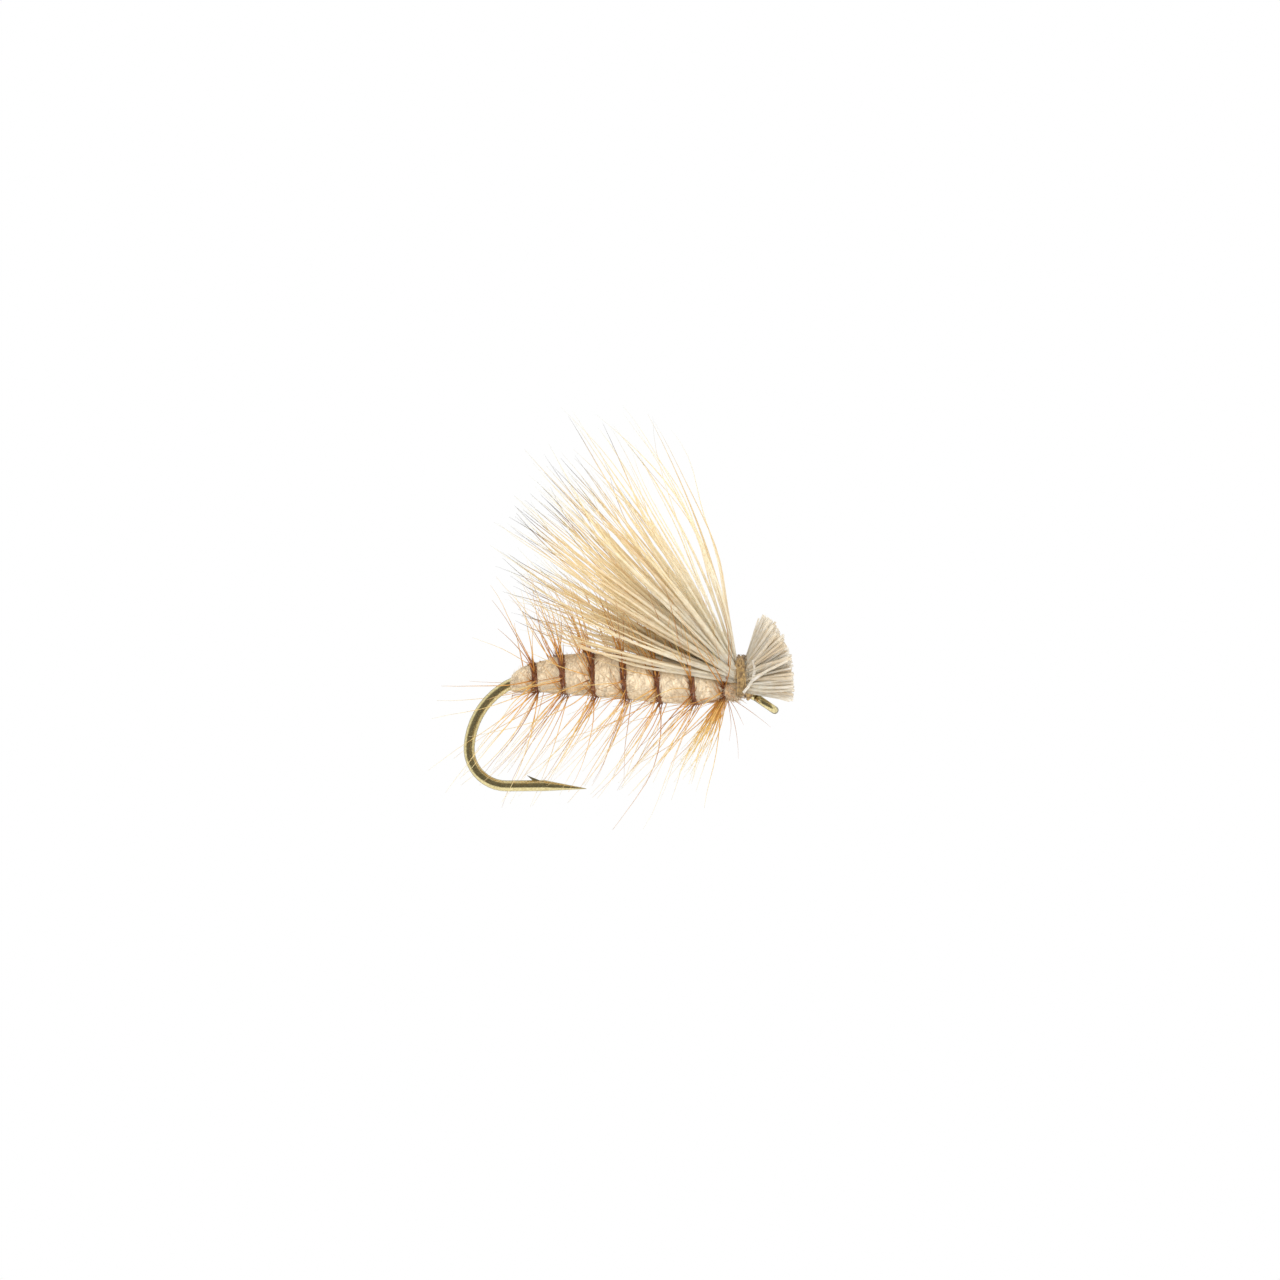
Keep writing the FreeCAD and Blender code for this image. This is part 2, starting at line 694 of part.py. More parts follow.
def make_barbs():
    """A ring of barbs for each turn of the hackle; each ring is a node."""
    per_turn = 16
    root_radius = size("barb_root_radius")
    tip_radius = size("barb_tip_radius")
    for turn in range(7):
        shapes = []
        for number in range(per_turn):
            turns = turn + number / per_turn - 0.25
            if turns > size("stem_turns") - 0.3:
                continue
            below = 0.5 - 0.5 * math.cos(math.radians(90 + 360 * turns))
            for attempt in range(30):
                sweep = size("barb_sweep") + draw.gauss(0, 5 + 0.6 * attempt)
                lean = draw.gauss(0, 4 + 0.6 * attempt)
                longest = size("upper_barb") + below * (size("lower_barb") - size("upper_barb"))
                root, tip = barb_ends(turns, sweep, lean, longest * draw.uniform(0.8, 1.0))
                if is_clear([(root, tip, root_radius)]):
                    laid.append((root, tip, root_radius))
                    shapes.append(barb_solid(root, tip, root_radius, tip_radius))
                    break
        fibre_group(f"hackle_barbs_{turn + 1}", shapes)


# ---------------------------------------------------------------- assembly and output


def main():
    hook = make_hook()
    underwrap = make_thread()
    make_dubbed_body(hook, underwrap)
    make_stem()
    lay_hook_wire()
    lay_mating_path()
    make_wing()
    make_barbs()
    make_collar()
    doc.recompute()
    check_document()
    write_parts()


def check_document():
    """Stop if any object failed to build, or any piece's shape is missing or broken."""
    for obj in doc.Objects:
        if "Invalid" in obj.State or "Error" in obj.State:
            raise RuntimeError(f"{obj.Label} is {obj.State}")
    for obj in nodes:
        if obj.Shape.isNull() or not obj.Shape.isValid():
            raise RuntimeError(f"{obj.Label} has no valid shape")


def write_parts():
    """Write each piece to its own STEP file."""
    os.makedirs("parts", exist_ok=True)
    for obj in nodes:
        obj.Shape.exportStep(os.path.join("parts", obj.Label + ".step"))
        box = obj.Shape.optimalBoundingBox(False, False)
        print(
            f"{obj.Label}: {len(obj.Shape.Solids)} solids, {obj.Shape.Volume:.4f} mm3,"
            f" X {box.XMin:.2f}..{box.XMax:.2f} Y {box.YMin:.2f}..{box.YMax:.2f}"
            f" Z {box.ZMin:.2f}..{box.ZMax:.2f}"
        )


main()
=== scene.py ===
import math
import random

import bpy
from mathutils import Matrix, Vector, noise


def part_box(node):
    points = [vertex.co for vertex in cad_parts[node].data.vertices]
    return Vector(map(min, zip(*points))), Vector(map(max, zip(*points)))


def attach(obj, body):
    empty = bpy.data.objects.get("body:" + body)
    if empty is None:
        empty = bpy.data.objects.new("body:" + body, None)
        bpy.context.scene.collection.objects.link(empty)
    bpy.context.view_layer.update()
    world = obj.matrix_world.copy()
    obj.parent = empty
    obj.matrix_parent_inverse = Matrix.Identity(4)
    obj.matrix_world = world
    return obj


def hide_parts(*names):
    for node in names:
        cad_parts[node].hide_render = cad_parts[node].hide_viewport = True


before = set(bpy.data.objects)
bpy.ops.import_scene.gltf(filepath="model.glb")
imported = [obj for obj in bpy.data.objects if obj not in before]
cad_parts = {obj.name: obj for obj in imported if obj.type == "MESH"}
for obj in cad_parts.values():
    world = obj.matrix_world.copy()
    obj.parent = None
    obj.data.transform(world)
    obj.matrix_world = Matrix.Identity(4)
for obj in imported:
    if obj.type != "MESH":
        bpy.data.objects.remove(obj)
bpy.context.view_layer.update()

MM = 0.001  # lengths below are millimetres and become metres where meshes are made

# ---------------------------------------------------------------- places on the hook


def node_box(name):
    """Lowest and highest corners of a CAD node, in millimetres."""
    return [Vector(corner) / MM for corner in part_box(name)]


shank_low, shank_high = node_box("thread_underwrap")
collar_low, collar_high = node_box("thread_collar")

WIRE = 0.205  # radius of the hook's wire
SHANK = (shank_low.z + shank_high.z) / 2  # height of the shank's centreline
COLLAR_X = (collar_low.x + collar_high.x) / 2  # middle of the thread band that binds the hair
COLLAR_Z = 0.98  # middle of the oval on which the band's thread runs
COLLAR_WIDE = 0.83  # half axes of that oval
COLLAR_TALL = 0.715
EYE_DOWN = math.radians(31)  # slope of the neck, down from the shank to the eye at the origin

# The dubbed body in side view: place along the shank, height of its middle, radius.
BODY = (
    (-9.62, 0.17, 0.19),
    (-9.50, 0.23, 0.33),
    (-9.25, 0.335, 0.445),
    (-8.90, 0.43, 0.50),
    (-8.50, 0.515, 0.56),
    (-7.80, 0.64, 0.70),
    (-6.90, 0.70, 0.78),
    (-5.80, 0.71, 0.81),
    (-4.70, 0.68, 0.82),
    (-3.70, 0.61, 0.78),
    (-2.84, 0.52, 0.70),
    (-2.00, 0.47, 0.52),
    (-1.50, 0.50, 0.36),
    (-1.30, 0.52, 0.26),
)
BODY_START = BODY[0][0]
BODY_END = BODY[-1][0]

# The hackle's stem winds forward over the body.
FIRST_TURN = -8.70  # where the first turn crosses the near side
PITCH = 1.03
PITCH_GROWTH = 0.036
LAST_TURN = -1.62  # where the stem is tied off
STEM_FIRST = -0.30  # turns at the stem's ends
STEM_LAST = 6.45
NEAR_SIDE_HOLD = 0.10  # the turns climb less on the near side than on the far side


def body_section(x):
    """Middle height and radius of the body at a place along the shank."""
    if x <= BODY[0][0]:
        return BODY[0][1], BODY[0][2]
    for rear, front in zip(BODY, BODY[1:]):
        if x <= front[0]:
            t = (x - rear[0]) / (front[0] - rear[0])
            return rear[1] + t * (front[1] - rear[1]), rear[2] + t * (front[2] - rear[2])
    return BODY[-1][1], BODY[-1][2]


def stem_place(turns):
    """Place along the shank and angle from the top; whole turns are on the near side."""
    x = FIRST_TURN + PITCH * turns + PITCH_GROWTH * turns * (turns - 1)
    x -= NEAR_SIDE_HOLD * math.sin(2 * math.pi * turns)
    return min(x, LAST_TURN), math.radians(90 + 360 * turns)


def outward(angle):
    """The direction away from the shank at an angle from the top, towards the near side."""
    return Vector((0, -math.sin(angle), math.cos(angle)))


# ---------------------------------------------------------------- fibres as meshes


class Strand:
    """One fibre: points in millimetres and a radius at each.

    Its material reads its tone, its kind, and how far along it each point is, from first to last.
    """

    def __init__(self, points, radii, tone=0.5, first=0.0, last=1.0, kind=0.0):
        self.points = points
        self.radii = radii
        self.tone = tone
        self.kind = kind
        self.first = first
        self.last = last


SLOW_WAVER = 5.2  # radians of a fibre's two wavers over its length
QUICK_WAVER = 12.0
QUICK_SHARE = 0.35


def curve_points(ends, bow, count, wave=0.0, draw=None):
    """Points from one end to the other, bowed aside, with a growing waver along the way."""
    start, end = ends
    points = []
    phase = draw.uniform(0, 6.28) if draw else 0.0
    aside = draw_direction(draw) if draw else Vector((0, 0, 0))
    for step in range(count):
        t = step / (count - 1)
        point = start.lerp(end, t) + bow * (4 * t * (1 - t))
        if wave:
            waver = math.sin(phase + SLOW_WAVER * t)
            waver += QUICK_SHARE * math.sin(2.3 * phase + QUICK_WAVER * t)
            point += aside * (wave * t * waver)
        points.append(point)
    return points


def draw_direction(draw):
    """A random unit vector."""
    while True:
        v = Vector((draw.uniform(-1, 1), draw.uniform(-1, 1), draw.uniform(-1, 1)))
        if 0.05 < v.length < 1:
            return v.normalized()


def fibre_object(name, strands, sides, material, nodes=()):
    """One mesh of many closed tapered tubes, with what the materials read at each vertex."""
    verts, faces, along, tones, kinds = [], [], [], [], []
    for strand in strands:
        add_tube(strand, sides, verts, faces, along)
        tones += [strand.tone] * (len(verts) - len(tones))
        kinds += [strand.kind] * (len(verts) - len(kinds))
    mesh = bpy.data.meshes.new(name)
    mesh.from_pydata(verts, [], faces)
    for label, values in (("along", along), ("tone", tones), ("kind", kinds)):
        attribute = mesh.attributes.new(label, "FLOAT", "POINT")
        attribute.data.foreach_set("value", values)
    mesh.shade_smooth()
    place(bpy.data.objects.new(name, mesh), material, nodes)


def tube_object(name, verts, faces, material, node):
    """One closed skin as a piece that stands for a CAD node."""
    mesh = bpy.data.meshes.new(name)
    mesh.from_pydata(verts, [], faces)
    mesh.shade_smooth()
    place(bpy.data.objects.new(name, mesh), material, (node,))


def add_tube(strand, sides, verts, faces, along):
    """Add one closed tube round a strand's points to the lists."""
    points = strand.points
    count = len(points)
    run = (points[1] - points[0]).normalized()
    across = run.orthogonal().normalized()
    start = len(verts)
    for number, (point, radius) in enumerate(zip(points, strand.radii)):
        run = (points[min(number + 1, count - 1)] - points[max(number - 1, 0)]).normalized()
        across = (across - run * across.dot(run)).normalized()
        second = run.cross(across)
        t = strand.first + (strand.last - strand.first) * number / (count - 1)
        for side in range(sides):
            angle = 2 * math.pi * side / sides
            offset = across * (radius * math.cos(angle)) + second * (radius * math.sin(angle))
            verts.append((point + offset) * MM)
            along.append(t)
    faces += tube_faces(start, count, sides)


def tube_faces(start, rings, around):
    """Faces of a closed tube whose rings of vertices follow one another from start."""
    faces = []
    for ring in range(rings - 1):
        a = start + ring * around
        b = a + around
        for side in range(around):
            following = (side + 1) % around
            faces.append((a + side, a + following, b + following, b + side))
    faces.append(tuple(range(start + around - 1, start - 1, -1)))
    end = start + (rings - 1) * around
    faces.append(tuple(range(end, end + around)))
    return faces


def place(obj, material, nodes):
    """Link a new piece, give it its material, and put it on the fly."""
    bpy.context.scene.collection.objects.link(obj)
    obj.data.materials.append(material)
    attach(obj, "root")
    if nodes:
        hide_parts(*nodes)


# ---------------------------------------------------------------- materials

# Noise scales are per metre and bump distances are metres.
FIBRE_GRAIN = 30000
NOISE_LOW = 0.3  # most of a noise texture's values lie between these
NOISE_HIGH = 0.7


def new_material(name):
    """A material with its node tree and its Principled shader."""
    material = bpy.data.materials.new(name)
    material.use_nodes = True
    tree = material.node_tree
    return material, tree, tree.nodes["Principled BSDF"]


def attribute(tree, name):
    """The value that fibre_object stored at each vertex."""
    node = tree.nodes.new("ShaderNodeAttribute")
    node.attribute_name = name
    return node.outputs["Fac"]


def ramp(tree, source, stops):
    """A colour ramp: stops are place and linear colour."""
    node = tree.nodes.new("ShaderNodeValToRGB")
    elements = node.color_ramp.elements
    while len(elements) < len(stops):
        elements.new(0.5)
    for element, (at, colour) in zip(elements, stops):
        element.position = at
        element.color = (*colour, 1)
    tree.links.new(source, node.inputs["Fac"])
    return node.outputs["Color"]


def mixed(tree, kind, factor, a, b):
    """A colour mix; factor, a and b are sockets or plain values."""
    node = tree.nodes.new("ShaderNodeMix")
    node.data_type = "RGBA"
    node.blend_type = kind
    for socket, value in ((node.inputs[0], factor), (node.inputs[6], a), (node.inputs[7], b)):
        if isinstance(value, bpy.types.NodeSocket):
            tree.links.new(value, socket)
        elif isinstance(value, tuple):
            socket.default_value = (*value, 1)
        else:
            socket.default_value = value
    return node.outputs[2]


def noise_texture(tree, scale, detail=3.0, stretch=None):
    """Noise in object space, with its scale per metre."""
    coordinates = tree.nodes.new("ShaderNodeTexCoord")
    source = coordinates.outputs["Object"]
    if stretch:
        mapping = tree.nodes.new("ShaderNodeMapping")
        mapping.inputs["Scale"].default_value = stretch
        tree.links.new(source, mapping.inputs["Vector"])
        source = mapping.outputs["Vector"]
    node = tree.nodes.new("ShaderNodeTexNoise")
    node.inputs["Scale"].default_value = scale
    node.inputs["Detail"].default_value = detail
    tree.links.new(source, node.inputs["Vector"])
    return node.outputs["Fac"]


def bump(tree, shader, height, distance, strength):
    """Raise the surface where a height socket is high."""
    node = tree.nodes.new("ShaderNodeBump")
    node.inputs["Strength"].default_value = strength
    node.inputs["Distance"].default_value = distance
    tree.links.new(height, node.inputs["Height"])
    tree.links.new(node.outputs["Normal"], shader.inputs["Normal"])


def vary_roughness(tree, shader, low, high, scale):
    """Roughness that wanders between two values with a noise of its own."""
    node = tree.nodes.new("ShaderNodeMapRange")
    node.inputs["From Min"].default_value = NOISE_LOW
    node.inputs["From Max"].default_value = NOISE_HIGH
    node.inputs["To Min"].default_value = low
    node.inputs["To Max"].default_value = high
    tree.links.new(noise_texture(tree, scale, 2), node.inputs["Value"])
    tree.links.new(node.outputs[0], shader.inputs["Roughness"])


def let_light_through(tree, shader, colour, share):
    """Mix in light from behind, as thin hair and feather let it through."""
    output = tree.nodes["Material Output"]
    glow = tree.nodes.new("ShaderNodeBsdfTranslucent")
    tree.links.new(colour, glow.inputs["Color"])
    mix = tree.nodes.new("ShaderNodeMixShader")
    mix.inputs[0].default_value = share
    tree.links.new(shader.outputs[0], mix.inputs[1])
    tree.links.new(glow.outputs[0], mix.inputs[2])
    tree.links.new(mix.outputs[0], output.inputs["Surface"])


def bronze_wire():
    """Lacquered bronze: polished, olive-gold, with faint drawing marks."""
    material, tree, shader = new_material("bronzed_wire")
    grain = noise_texture(tree, 15000, 4)
    tint = ramp(tree, grain, ((0.30, (0.47, 0.38, 0.165)), (0.72, (0.77, 0.68, 0.38))))
    tree.links.new(tint, shader.inputs["Base Color"])
    shader.inputs["Metallic"].default_value = 1.0
    vary_roughness(tree, shader, 0.14, 0.27, 7000)
    shader.inputs["Coat Weight"].default_value = 0.35
    shader.inputs["Coat Roughness"].default_value = 0.08
    bump(tree, shader, noise_texture(tree, 26000, 2), 0.000004, 0.25)
    return material


# Colours along a hair from butt to tip, for its two kinds.
DARK_TIPPED = (
    (0.00, (0.91, 0.89, 0.85)),
    (0.16, (0.93, 0.91, 0.84)),
    (0.45, (0.97, 0.935, 0.83)),
    (0.80, (0.96, 0.86, 0.66)),
    (0.89, (0.64, 0.49, 0.32)),
    (0.94, (0.20, 0.16, 0.14)),
    (1.00, (0.34, 0.32, 0.30)),
)
PALE_TIPPED = (
    (0.00, (0.91, 0.89, 0.85)),
    (0.16, (0.93, 0.91, 0.84)),
    (0.45, (0.97, 0.935, 0.83)),
    (0.80, (0.95, 0.88, 0.68)),
    (0.92, (0.90, 0.86, 0.70)),
    (1.00, (0.88, 0.90, 0.84)),
)
HAIR_TONES = ((0.0, (0.88, 0.81, 0.70)), (0.25, (0.97, 0.95, 0.91)), (1.0, (1, 1, 1)))
HAIR_MOTTLES = ((0.32, (0.94, 0.90, 0.83)), (0.62, (1, 1, 1)))
KINDS = ((0.66, (0, 0, 0)), (0.76, (1, 1, 1)))  # hairs of a high kind have dark tips


def elk_hair():
    """Bleached hollow hair: cream at the butt, straw along the middle, some tips dark."""
    material, tree, shader = new_material("elk_hair")
    along = attribute(tree, "along")
    which = ramp(tree, attribute(tree, "kind"), KINDS)
    body = mixed(tree, "MIX", which, ramp(tree, along, PALE_TIPPED), ramp(tree, along, DARK_TIPPED))
    tone = ramp(tree, attribute(tree, "tone"), HAIR_TONES)
    mottled = ramp(tree, noise_texture(tree, 5200, 3), HAIR_MOTTLES)
    colour = mixed(tree, "MULTIPLY", 1.0, mixed(tree, "MULTIPLY", 1.0, body, tone), mottled)
    tree.links.new(colour, shader.inputs["Base Color"])
    vary_roughness(tree, shader, 0.36, 0.56, 8000)
    bump(tree, shader, noise_texture(tree, FIBRE_GRAIN, 2), 0.000006, 0.4)
    let_light_through(tree, shader, colour, 0.64)
    return material


# Colours along a barb from the quill to its tip.
BARB_STOPS = (
    (0.00, (0.22, 0.070, 0.032)),
    (0.04, (0.52, 0.235, 0.090)),
    (0.12, (0.90, 0.57, 0.165)),
    (0.50, (0.93, 0.73, 0.31)),
    (1.00, (0.94, 0.86, 0.58)),
)
BARB_TONES = ((0.0, (0.60, 0.36, 0.20)), (0.20, (0.86, 0.68, 0.50)), (0.42, (1, 1, 1)))
BARB_STREAKS = ((0.3, (0.82, 0.76, 0.70)), (0.6, (1, 1, 1)))


def hackle_barb():
    """Ginger feather barb: dark at the quill, golden and clear towards the tip."""
    material, tree, shader = new_material("hackle_barb")
    body = ramp(tree, attribute(tree, "along"), BARB_STOPS)
    tone = ramp(tree, attribute(tree, "tone"), BARB_TONES)
    streak = ramp(tree, noise_texture(tree, 7000, 2), BARB_STREAKS)
    colour = mixed(tree, "MULTIPLY", 1.0, mixed(tree, "MULTIPLY", 1.0, body, tone), streak)
    tree.links.new(colour, shader.inputs["Base Color"])
    vary_roughness(tree, shader, 0.28, 0.46, 8000)
    bump(tree, shader, noise_texture(tree, FIBRE_GRAIN, 2), 0.000003, 0.3)
    let_light_through(tree, shader, colour, 0.45)
    return material


QUILL_STOPS = (
    (0.32, (0.085, 0.028, 0.015)),
    (0.55, (0.19, 0.066, 0.030)),
    (0.78, (0.36, 0.155, 0.075)),
)


def hackle_quill():
    """The feather's stem: dark red-brown, streaked."""
    material, tree, shader = new_material("hackle_quill")
    colour = ramp(tree, noise_texture(tree, 9000, 3), QUILL_STOPS)
    tree.links.new(colour, shader.inputs["Base Color"])
    vary_roughness(tree, shader, 0.32, 0.52, 9000)
    bump(tree, shader, noise_texture(tree, 24000, 2), 0.00001, 0.6)
    return material


def dubbing_fur():
    """Felted cream fur, a little mottled where the underfur shows."""
    material, tree, shader = new_material("dubbing")
    patches = noise_texture(tree, 1100, 3)
    colour = ramp(tree, patches, ((0.30, (0.82, 0.67, 0.46)), (0.70, (0.91, 0.80, 0.62))))
    fine = ramp(tree, noise_texture(tree, 22000, 2), ((0.3, (0.80, 0.73, 0.62)), (0.6, (1, 1, 1))))
    colour = mixed(tree, "MULTIPLY", 0.9, colour, fine)
    tree.links.new(colour, shader.inputs["Base Color"])
    vary_roughness(tree, shader, 0.86, 1.0, 3000)
    shader.inputs["Specular IOR Level"].default_value = 0.1
    bump(tree, shader, noise_texture(tree, 14000, 3), 0.000010, 0.35)
    return material


FUR_TONES = (
    (0.00, (0.52, 0.35, 0.19)),
    (0.07, (0.76, 0.60, 0.40)),
    (0.40, (0.89, 0.77, 0.58)),
    (1.00, (0.94, 0.87, 0.73)),
)


def dubbing_fibre():
    """The loose fibres of the fur: the same cream, with a few brown guard hairs."""
    material, tree, shader = new_material("dubbing_fibre")
    colour = ramp(tree, attribute(tree, "tone"), FUR_TONES)
    tree.links.new(colour, shader.inputs["Base Color"])
    vary_roughness(tree, shader, 0.6, 0.85, 5000)
    bump(tree, shader, noise_texture(tree, FIBRE_GRAIN, 2), 0.000003, 0.3)
    let_light_through(tree, shader, colour, 0.35)
    return material


def thread(name, light, dark):
    """Waxed tying thread: a slightly shiny twist with darker turns."""
    material, tree, shader = new_material(name)
    twist = noise_texture(tree, 6500, 4)
    colour = ramp(tree, twist, ((0.36, dark), (0.60, light)))
    tree.links.new(colour, shader.inputs["Base Color"])
    vary_roughness(tree, shader, 0.42, 0.66, 9000)
    shader.inputs["Sheen Weight"].default_value = 0.2
    bump(tree, shader, noise_texture(tree, 40000, 2), 0.00001, 0.7)
    return material


# ---------------------------------------------------------------- camera, floor, light


def aim(obj, eye, target, roll=0.0):
    """Point an object's -Z from eye to target, with its up turned by roll."""
    back = (eye - target).normalized()
    right = Vector((0, 0, 1)).cross(back).normalized()
    up = back.cross(right)
    turned_right = right * math.cos(roll) + up * math.sin(roll)
    turned_up = up * math.cos(roll) - right * math.sin(roll)
    turn = Matrix((turned_right, turned_up, back)).transposed().to_4x4()
    obj.matrix_world = Matrix.Translation(eye) @ turn


VIEW_CENTRE = Vector((-4.86, 0, 2.11))  # the middle of the frame, on the fly's own plane
FIELD = 48.0  # width of the frame there
LENS = 100.0
SENSOR = 36.0
ROLL = math.radians(3.5)  # the photograph shows the shank tilted by this much

FLOOR_RADIUS = 38.0
FLOOR_HEIGHT = -32.0
FLOOR_SIDES = 96


def add_camera():
    data = bpy.data.cameras.new("camera")
    data.lens = LENS
    data.sensor_width = SENSOR
    data.clip_start = 0.005
    data.clip_end = 10
    camera = bpy.data.objects.new("camera", data)
    bpy.context.scene.collection.objects.link(camera)
    distance = FIELD * LENS / SENSOR
    eye = VIEW_CENTRE + Vector((0, -distance, 0))
    aim(camera, eye * MM, VIEW_CENTRE * MM, ROLL)
    bpy.context.scene.camera = camera


def add_floor():
    """A plain pale disc below the fly, small enough to stay out of the frame."""
    centre = Vector((VIEW_CENTRE.x, 0, FLOOR_HEIGHT))
    verts = [centre * MM]
    for number in range(FLOOR_SIDES):
        angle = 2 * math.pi * number / FLOOR_SIDES
        verts.append((centre + Vector((math.cos(angle), math.sin(angle), 0)) * FLOOR_RADIUS) * MM)
    faces = [(0, 1 + n, 1 + (n + 1) % FLOOR_SIDES) for n in range(FLOOR_SIDES)]
    mesh = bpy.data.meshes.new("floor")
    mesh.from_pydata(verts, [], faces)
    floor = bpy.data.objects.new("floor", mesh)
    bpy.context.scene.collection.objects.link(floor)
    material, _, shader = new_material("floor_paper")
    shader.inputs["Base Color"].default_value = (0.93, 0.93, 0.925, 1)
    shader.inputs["Roughness"].default_value = 0.9
    mesh.materials.append(material)


LIT_POINT = Vector((-5, 0, 2))


def add_area(name, eye, width, height, power):
    """A soft lamp aimed at the fly, its size in millimetres and its power in watts."""
    data = bpy.data.lights.new(name, "AREA")
    data.shape = "RECTANGLE"
    data.size = width * MM
    data.size_y = height * MM
    data.energy = power
    light = bpy.data.objects.new(name, data)
    light.visible_glossy = False
    bpy.context.scene.collection.objects.link(light)
    aim(light, eye * MM, LIT_POINT * MM)


# What polished wire mirrors, from the front of the tent (0) to its back (1): dark, bright, dark.
TENT_WALLS = (
    (0.00, (0.17, 0.16, 0.15)),
    (0.20, (0.21, 0.20, 0.19)),
    (0.36, (1.1, 1.1, 1.05)),
    (0.80, (1.1, 1.1, 1.1)),
    (0.93, (0.30, 0.29, 0.28)),
    (1.00, (0.2, 0.2, 0.2)),
)


def add_light():
    """A white tent: bright all round, but polished wire mirrors its dark front and back."""
    world = bpy.data.worlds.new("tent")
    bpy.context.scene.world = world
    world.use_nodes = True
    tree = world.node_tree
    tree.nodes.clear()
    output = tree.nodes.new("ShaderNodeOutputWorld")
    direction = tree.nodes.new("ShaderNodeTexCoord")
    split = tree.nodes.new("ShaderNodeSeparateXYZ")
    tree.links.new(direction.outputs["Generated"], split.inputs[0])
    depth = tree.nodes.new("ShaderNodeMapRange")
    depth.inputs["From Min"].default_value = -1.0
    depth.inputs["From Max"].default_value = 1.0
    tree.links.new(split.outputs["Y"], depth.inputs["Value"])
    walls = ramp(tree, depth.outputs[0], TENT_WALLS)
    mirrored = tree.nodes.new("ShaderNodeBackground")
    tree.links.new(walls, mirrored.inputs["Color"])
    soft = tree.nodes.new("ShaderNodeBackground")
    soft.inputs["Color"].default_value = (1.0, 0.995, 0.985, 1)
    soft.inputs["Strength"].default_value = 1.2
    seen = tree.nodes.new("ShaderNodeBackground")
    seen.inputs["Color"].default_value = (1, 1, 1, 1)
    seen.inputs["Strength"].default_value = 1.0
    path = tree.nodes.new("ShaderNodeLightPath")
    by_mirror = tree.nodes.new("ShaderNodeMixShader")
    tree.links.new(path.outputs["Is Glossy Ray"], by_mirror.inputs[0])
    tree.links.new(soft.outputs[0], by_mirror.inputs[1])
    tree.links.new(mirrored.outputs[0], by_mirror.inputs[2])
    by_eye = tree.nodes.new("ShaderNodeMixShader")
    tree.links.new(path.outputs["Is Camera Ray"], by_eye.inputs[0])
    tree.links.new(by_mirror.outputs[0], by_eye.inputs[1])
    tree.links.new(seen.outputs[0], by_eye.inputs[2])
    tree.links.new(by_eye.outputs[0], output.inputs["Surface"])
    add_area("key", Vector((-40, -110, 90)), 90, 90, 0.055)
    add_area("fill", Vector((80, -90, 20)), 80, 80, 0.03)
    add_area("low", Vector((-20, -100, -26)), 80, 50, 0.010)
    scene = bpy.context.scene
    scene.view_settings.view_transform = "Standard"
    scene.view_settings.look = "None"


# ---------------------------------------------------------------- body

GROOVE_DEPTH = 0.014  # the stem's bed in the fur
GROOVE_WIDTH = 0.13
GROOVES = math.ceil(STEM_LAST) + 1
LUMPS = 1.9, 0.018  # unevenness of the fur: how fine per millimetre, and how high
DIMPLES = 6.0, 0.004
STREAKS = (11, 5, 5), 0.004


def groove(x, angle):
    """How deep the hackle stem presses into the fur at a place on the body."""
    depth = 0.0
    for turn in range(GROOVES):
        turns = turn + (math.degrees(angle) - 90) / 360
        away = (x - stem_place(turns)[0]) / GROOVE_WIDTH
        depth = max(depth, GROOVE_DEPTH * math.exp(-away * away))
    return depth


def body_point(x, angle, lift=0.0):
    """A point on the fur's uneven surface; angle 0 is the top."""
    height, radius = body_section(x)
    out = outward(angle)
    place_on = Vector((x, 0, height)) + out * radius
    coarse = noise.noise(place_on * LUMPS[0]) * LUMPS[1]
    middling = noise.noise(place_on * DIMPLES[0]) * DIMPLES[1]
    fine = noise.noise(place_on * Vector(STREAKS[0])) * STREAKS[1]
    swell = coarse + middling + fine - groove(x, angle % (2 * math.pi))
    return Vector((x, 0, height)) + out * (radius + swell * min(1.0, radius / 0.4) + lift)


def make_body(material):
    """The wound fur as one closed skin."""
    rings, around = 220, 112
    verts = []
    for ring in range(rings):
        x = BODY_START + (BODY_END - BODY_START) * ring / (rings - 1)
        for side in range(around):
            verts.append(body_point(x, 2 * math.pi * side / around) * MM)
    # The rings run clockwise, so each face is turned over.
    faces = [(face[0], *face[:0:-1]) for face in tube_faces(0, rings, around)]
    tube_object("dubbed_body_fur", verts, faces, material, "dubbed_body")


FUR_FIBRES = 6500
PROUD_EVERY = 18  # one fibre in this many stands well off the fur


def make_body_fibres(material):
    """Loose fibres of the fur, mostly wound round the body, some standing off it."""
    draw = random.Random(3)
    strands = []
    for number in range(FUR_FIBRES):
        x = draw.uniform(BODY_START + 0.05, BODY_END)
        angle = draw.uniform(0, 2 * math.pi)
        reach = draw.uniform(0.15, 0.55)
        slant = draw.gauss(0, 0.75)
        rise = abs(draw.gauss(0, 0.020))
        if number % PROUD_EVERY == 0:
            rise += draw.uniform(0.04, 0.16)
            reach *= 0.6
        radius = body_section(x)[1]
        points = []
        for step in range(6):
            t = step / 5
            turned = angle + math.cos(slant) * reach * (t - 0.5) / max(radius, 0.25)
            along = x + math.sin(slant) * reach * (t - 0.5)
            arch = 1 - (2 * t - 1) ** 2 if number % 2 else t * t
            points.append(body_point(along, turned, 0.002 + rise * arch))
        thick = draw.uniform(0.0045, 0.0085)
        strands.append(Strand(points, [0.5 * thick] + [thick] * 4 + [0.35 * thick], draw.random()))
    fibre_object("dubbed_body_fibres", strands, 3, material)


# ---------------------------------------------------------------- hackle

PER_TURN = 48  # sections of the stem's mesh in a turn
